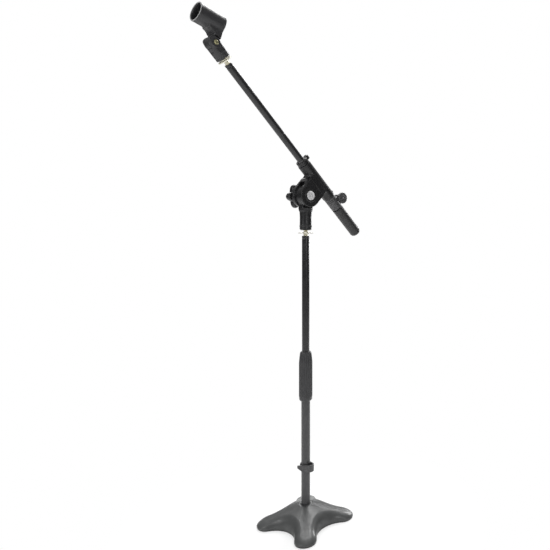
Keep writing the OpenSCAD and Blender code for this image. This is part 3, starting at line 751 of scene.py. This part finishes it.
COLLAR_FRONT, COLLAR_BACK, COLLAR_R = 48.3, 82.0, 13.0
SCREW_X, SCREW_UP, LUG_OUT = 69.0, 17.5, 8.0
BUSH_R = 8.95


def collar():
    """Clamp collar with two pinch lugs and grip ridges round its barrel."""

    def shape(p):
        x, y, z = p
        side = np.hypot(y, z - BOOM_UP)
        barrel = rod(p, 0, (0, BOOM_UP), COLLAR_R, COLLAR_FRONT, COLLAR_BACK, 1.4)
        for middle in (53.5, 57.5, 78.0):
            barrel = cut(barrel, np.hypot(side - COLLAR_R - 0.2, x - middle) - 0.9, 0.5)
        spigot = rod(p, 0, (0, BOOM_UP), SPIGOT_R, SLEEVE_BACK - SPIGOT_LEN, COLLAR_FRONT + 3,
                     0.4)
        lug = round_box(p, (SCREW_X - 7.5, -LUG_OUT, BOOM_UP),
                        (SCREW_X + 7.5, LUG_OUT, BOOM_UP + SCREW_UP + 6), 2.0)
        head = rod(p, 1, (SCREW_X, BOOM_UP + SCREW_UP), 8.0, -LUG_OUT, LUG_OUT, 1.2)
        lug = meet(lug, join(head, BOOM_UP + 12 - z), 1.0)
        body = join(join(barrel, spigot, 0.8), lug, 3)
        slit = round_box(p, (COLLAR_FRONT + 2, -1, BOOM_UP), (FAR, 1, FAR))
        body = cut(body, slit, 0.5)
        body = cut(body, rod(p, 0, (0, BOOM_UP), BOOM_R + 0.1, -FAR, FAR), 0.6)
        body = cut(body, rod(p, 0, (0, BOOM_UP), BUSH_R + 0.1, -FAR, SLEEVE_BACK), 0.4)
        screw = rod(p, 1, (SCREW_X, BOOM_UP + SCREW_UP), 2.6, -FAR, FAR)
        return cut(body, screw, 0.4)

    moulded("clamp_collar", "boom_collar", shape, (42, -14, BOOM_UP - 14),
            (83, 14, BOOM_UP + 25), HEAD, "boom_holder", "collar_plastic", 0.5)


def thumb_knob():
    """Knurled thumb knob of the pinch screw."""
    radius, teeth, reach, neck = 13.0, 18, 20.0, 13.0
    bore_r, hub_r, foot = 2.05, 5.0, LUG_OUT + 0.1
    corners = [(bore_r, foot), (hub_r, foot), (hub_r, neck), (radius, neck), (radius, reach),
               (7.0, reach), (5.6, reach - 1.6), (bore_r, reach - 1.6)]
    profile = rounded(corners, [0, 0.5, 1.0, 1.4, 1.8, 0.8, 0.6, 0.2], True, 5)

    def knurl(angle, r, z):
        share = np.clip((r - radius + 2.2) / 2.2, 0, 1)
        return r - 0.9 * share * (0.5 - 0.5 * np.cos(teeth * angle)) ** 0.7

    spot = Matrix.Translation((SCREW_X * MM, 0, (BOOM_UP + SCREW_UP) * MM))
    turned("thumb_knob", "collar_knob", profile, HEAD @ spot @ Z_TO_FRONT, "collar_knob",
           "collar_plastic", teeth * 10, True, knurl)


def boom_clip():
    """Cable clip on the holder's nose: a ring with an open hook on top."""
    half, hook_r, wall = 4.5, 3.2, 2.4
    ring_r = NOSE_R + 0.05
    reach = ring_r + wall + hook_r
    centre_x = -SLEEVE_FRONT - NOSE_LEN / 2

    def shape(p):
        x, y, z = p
        ring = np.hypot(y, z - BOOM_UP)
        hook = np.hypot(y, z - BOOM_UP - reach)
        outline = join(ring - ring_r - wall, hook - hook_r - wall, 2.5)
        body = meet(outline, np.abs(x - centre_x) - half, 1.0)
        body = cut(body, join(ring - ring_r, hook - hook_r), 0.8)
        above = round_box(p, (-FAR, -hook_r * 0.6, BOOM_UP + reach), (0, hook_r * 0.6, 2 * FAR))
        return cut(body, above, 1.0)

    moulded("boom_cable_holder", "boom_cable_clip", shape, (-62, -14, BOOM_UP - 14),
            (-52, 14, BOOM_UP + 23), HEAD, "boom_cable_clip", "black_plastic", 0.4)


def bush():
    """Plastic bush in the sleeve, with a small flange where the boom leaves it."""
    front, back = -SLEEVE_FRONT - NOSE_LEN - 2, SLEEVE_BACK - 0.2
    bore = BOOM_R + 0.05
    corners = [(bore, front), (BUSH_R - 0.05, front), (BUSH_R, front + 2), (BUSH_R, back),
               (bore, back)]
    turned("sleeve_bush", "boom_bush", rounded(corners, [0.4, 0.8, 0.2, 0.4, 0.4]),
           BOOM @ Z_TO_TAIL, "boom_bush", "collar_plastic")


def boom_parts():
    """The boom's tube with two rolled grooves, and the sleeve over its weighted end."""
    tail_front, tail_back, tail_r, cap = 84.0, 170.0, 12.75, 6
    tube("boom_arm", "boom_tube", BOOM @ Z_TO_TAIL, BOOM_R, -BOOM_FRONT, tail_back - cap, "boom",
         "black_coat", 0.9, (-BOOM_FRONT + 6, -134))
    length = tail_back - tail_front

    def mottled(angle, r, z):
        """Low, uneven dimples all over the moulded sleeve."""
        deep = (np.sin(13 * angle + 0.9 * z + 2 * np.sin(0.23 * z))
                * np.sin(8 * angle - 1.3 * z + 2 * np.sin(3 * angle))
                * np.sin(1.7 * z + 1.5 * np.sin(5 * angle)))
        return r - 0.2 * np.abs(deep) if r > tail_r - 1 else np.full_like(angle, r)

    bore = BOOM_R + 0.05
    bore_end = length - cap + 0.1
    skin = [(0.0, bore_end), (bore, bore_end), (bore, 0.0), (tail_r - 0.8, 0.0), (tail_r, 1.0)]
    skin += [(tail_r, z) for z in along(2.0, length - 6, 0.7)]
    skin += [(tail_r - 0.35, length - 4), (tail_r - 1.6, length - 1.8),
             (tail_r - 3.6, length - 0.4), (tail_r - 6, length), (0.0, length)]
    matrix = BOOM @ Matrix.Translation((tail_front * MM, 0, 0)) @ Z_TO_TAIL
    turned("tail", "tail_sleeve", skin, matrix, "boom", "tail_rubber", 160, False, mottled)


# ---------------------------------------------------------------- microphone clip

FORK_R = 13.0           # round ends of the fork and of the barrel's neck
FORK_HALF = 13.0        # half the fork's width
GAP_HALF = 7.0          # half the slot in the fork
INSERT_X = -333         # inner end of the threaded insert's hole, along the boom


def clip_foot():
    """Round clip base with a fork for the barrel's tongue."""
    base_r, front = 14.3, -318.0
    centre = (CLIP_X, 0)

    def shape(p):
        x, y, z = p
        body = rod(p, 0, (0, 0), base_r, CLIP_X - FORK_R, front, 1.2)
        ears = join(rod(p, 1, centre, FORK_R, -FAR, FAR),
                    round_box(p, (CLIP_X, -FAR, -FORK_R), (CLIP_X + FORK_R + 6, FAR, FORK_R)))
        ears = join(ears, CLIP_X + FORK_R - x, 3)
        body = meet(body, ears, 1.6)
        body = cut(body, np.hypot(np.hypot(y, z) - base_r - 0.3, x - front + 5) - 0.8, 0.4)
        gap = join(rod(p, 1, centre, FORK_R, -GAP_HALF, GAP_HALF),
                   round_box(p, (CLIP_X - FAR, -GAP_HALF, -FAR), (CLIP_X + 4, GAP_HALF, FAR)))
        body = cut(body, gap, 0.8)
        flank = np.where(x < CLIP_X + 17, FORK_HALF - 0.8,
                         FORK_HALF + np.maximum(x - CLIP_X - 20, 0))
        body = meet(body, np.abs(y) - flank, 0.8)
        for ends in ((-FORK_HALF, -9), (9, FORK_HALF)):
            body = join(body, rod(p, 1, centre, 9.5, *ends, 0.7), 0.8)
        body = cut(body, rod(p, 1, centre, 2.1, -FAR, FAR))
        return cut(body, rod(p, 0, (0, 0), 8.0, INSERT_X, 0), 0.5)

    moulded("clip_foot", "clip_base", shape, (CLIP_X - 14, -15, -15), (front + 1, 15, 15), BOOM,
            "boom", "clip_plastic", 0.5)


def clip_body():
    """Clip barrel with a lipped mouth, a blended neck and the tongue in the fork."""
    radius = 19.2
    rear = BORE_POINT.x / MM + BARREL_LEN / 2
    mouth = rear - BARREL_LEN
    half_w, neck_rear, neck_top = 12.5, 8.4, BARREL_UP - 6
    tongue = GAP_HALF - 0.1

    def shape(p):
        x, y, z = p
        side = np.hypot(y, z - BARREL_UP)
        barrel = rod(p, 0, (0, BARREL_UP), radius - 0.35, mouth, rear, 1.6)
        lip = rod(p, 0, (0, BARREL_UP), radius, mouth, mouth + 3.2, 1.0)
        hem = rod(p, 0, (0, BARREL_UP), radius, rear - 3.5, rear, 1.5)
        barrel = join(join(barrel, lip, 0.8), hem, 1.2)
        neck = round_box(p, (-6, -half_w, FORK_R - 4), (neck_rear, half_w, neck_top), 2.0)
        web = round_box(p, (-19, -half_w, FORK_R + 2), (neck_rear, half_w, neck_top), 1.5)
        web = cut(web, np.hypot(x + 20, z - BARREL_UP + radius + 13.2) - 14, 1.0)
        body = join(barrel, join(neck, web, 1.0), 3)
        ears = rod(p, 1, (0, 0), FORK_R + 0.6, -FAR, FAR)
        body = cut(body, meet(ears, tongue - np.abs(y)), 0.8)
        body = join(body, rod(p, 1, (0, 0), FORK_R - 0.5, -tongue, tongue, 0.4))
        funnel = (side - BORE_R - 0.9 * np.clip((mouth + 2.5 - x) / 2.5, 0, 1)) * 0.9
        for middle in (mouth + 14, mouth + 26, mouth + 38):
            rib = np.hypot(side - BORE_R - 0.3, x - middle) - 0.8
            funnel = join(funnel, rib, 0.3)
        body = cut(body, funnel, 0.7)
        return cut(body, rod(p, 1, (0, 0), 2.05, -FAR, FAR))

    moulded("clip_body", "clip_barrel", shape, (mouth, -20, -14), (rear, 20, BARREL_UP + 20),
            CLIP, "clip", "clip_plastic", 0.55)


def clip_bolt():
    """Domed, slotless head of the clip's screw over a plain shank."""
    shank_r, shank_end, seat = 2.0, -16.0, FORK_HALF
    corners = [(0.0, shank_end), (shank_r, shank_end), (shank_r, seat), (4.7, seat),
               (4.6, seat + 0.9), (2.8, seat + 1.9), (0.0, seat + 2.0)]
    profile = rounded(corners, [0, 0.4, 0.2, 0.2, 0.5, 0.8, 0], False)
    turned("clip_bolt", "clip_screw", profile, CLIP @ Z_TO_FRONT, "boom", "dull_brass", 64,
           False)


# ---------------------------------------------------------------- build


def finish_cad_nodes():
    """Gives every CAD node the finish of its slot in the record."""
    for name, node in frame["nodes"].items():
        node.data.materials.clear()
        node.data.materials.append(MATERIAL[SLOT[name]])


def stage():
    """Pale floor that runs out into the white background, and soft studio lamps."""
    bpy.ops.mesh.primitive_circle_add(vertices=96, radius=3.0, fill_type="NGON")
    floor = bpy.context.object
    floor.name = "floor"
    n = Nodes("floor_paper")
    paper = n.mix(n.ramp(n.noise(30, 4), 0.3, 0.7), (0.86, 0.86, 0.86), (0.89, 0.89, 0.89))
    n.feed(n.shader.inputs["Base Color"], paper)
    n.shader.inputs["Roughness"].default_value = 0.9
    away = n.add("ShaderNodeVectorMath", operation="LENGTH")
    n.link(n.place, away.inputs[0])
    light = n.add("ShaderNodeEmission")
    light.inputs["Strength"].default_value = 1.0
    blend = n.add("ShaderNodeMixShader")
    seen = n.add("ShaderNodeLightPath").outputs["Is Camera Ray"]
    n.link(n.maths("MULTIPLY", n.ramp(away.outputs["Value"], 0.08, 0.4, 0.55, 1), seen),
           blend.inputs[0])
    n.link(n.shader.outputs[0], blend.inputs[1])
    n.link(light.outputs[0], blend.inputs[2])
    output = n.tree.nodes["Material Output"]
    n.link(blend.outputs[0], output.inputs["Surface"])
    floor.data.materials.append(n.mat)

    world = bpy.data.worlds.new("studio")
    bpy.context.scene.world = world
    world.use_nodes = True
    tree = world.node_tree
    back = tree.nodes["Background"]
    place = tree.nodes.new("ShaderNodeTexCoord")
    split = tree.nodes.new("ShaderNodeSeparateXYZ")
    tree.links.new(place.outputs["Generated"], split.inputs[0])
    height = tree.nodes.new("ShaderNodeMapRange")
    for key, value in zip(("From Min", "From Max", "To Min", "To Max"), (0.1, 0.9, 0.1, 0.6)):
        height.inputs[key].default_value = value
    tree.links.new(split.outputs["Z"], height.inputs["Value"])
    seen = tree.nodes.new("ShaderNodeLightPath")
    either = tree.nodes.new("ShaderNodeMath")
    either.operation = "MAXIMUM"
    tree.links.new(seen.outputs["Is Camera Ray"], either.inputs[0])
    tree.links.new(height.outputs[0], either.inputs[1])
    tree.links.new(either.outputs[0], back.inputs["Strength"])
    back.inputs["Color"].default_value = (1, 1, 1, 1)
    for name, place, power, size in (
        ("top", (0.75, 0.55, 2.2), 36, 1.2),
        ("front", (-0.7, -2.0, 1.1), 8, 0.5),
        ("left", (-2.2, 0.1, 1.5), 16, 0.7),
        ("right", (1.95, 0.4, 0.85), 20, 0.7),
        ("rim", (1.0, 1.4, 1.5), 12, 0.8),
    ):
        data = bpy.data.lights.new(name, "AREA")
        data.energy, data.size = power, size
        lamp = bpy.data.objects.new(name, data)
        bpy.context.collection.objects.link(lamp)
        lamp.location = place
        aim = Vector((0, 0, 0.5)) - Vector(place)
        lamp.rotation_euler = aim.to_track_quat("-Z", "Y").to_euler()
    bpy.context.scene.view_settings.view_transform = "Standard"


# camera: level, beside the pole's front, with its frame shifted down and to the left
CAM_AZIMUTH = 39.7
CAM_DISTANCE = 1.2007
CAM_HEIGHT = 0.6455
CAM_YAW = 13.32
CAM_LENS = 34.64
CAM_SHIFT = (-0.28364, -0.08345)


def shift_driver(data, camera_object, axis, amount):
    """Shifts the lens only while the camera keeps its own Euler rotation, so that a
    view from another side, which turns the camera by quaternion, is centred."""
    curve = data.driver_add("shift_" + axis)
    curve.driver.type = "AVERAGE"
    variable = curve.driver.variables.new()
    variable.targets[0].id = camera_object
    variable.targets[0].data_path = "rotation_mode"
    ramp = curve.modifiers[0] if curve.modifiers else curve.modifiers.new("GENERATOR")
    ramp.coefficients = (0.0, amount)


def camera():
    data = bpy.data.cameras.new("camera")
    data.sensor_width = 36
    data.lens = CAM_LENS
    cam = bpy.data.objects.new("camera", data)
    bpy.context.collection.objects.link(cam)
    a = radians(CAM_AZIMUTH)
    cam.location = (-sin(a) * CAM_DISTANCE, -cos(a) * CAM_DISTANCE, CAM_HEIGHT)
    cam.rotation_mode = "XYZ"
    cam.rotation_euler = (radians(90), 0, -radians(CAM_AZIMUTH + CAM_YAW))
    shift_driver(data, cam, "x", CAM_SHIFT[0])
    shift_driver(data, cam, "y", CAM_SHIFT[1])
    bpy.context.scene.camera = cam


finish_cad_nodes()
casting()
mat()
pole_tubes()
grip()
studs_and_locknuts()
pole_clip()
socket()
holder()
badge()
star_knob()
collar()
thumb_knob()
boom_clip()
bush()
boom_parts()
clip_foot()
clip_body()
clip_bolt()
stage()
camera()
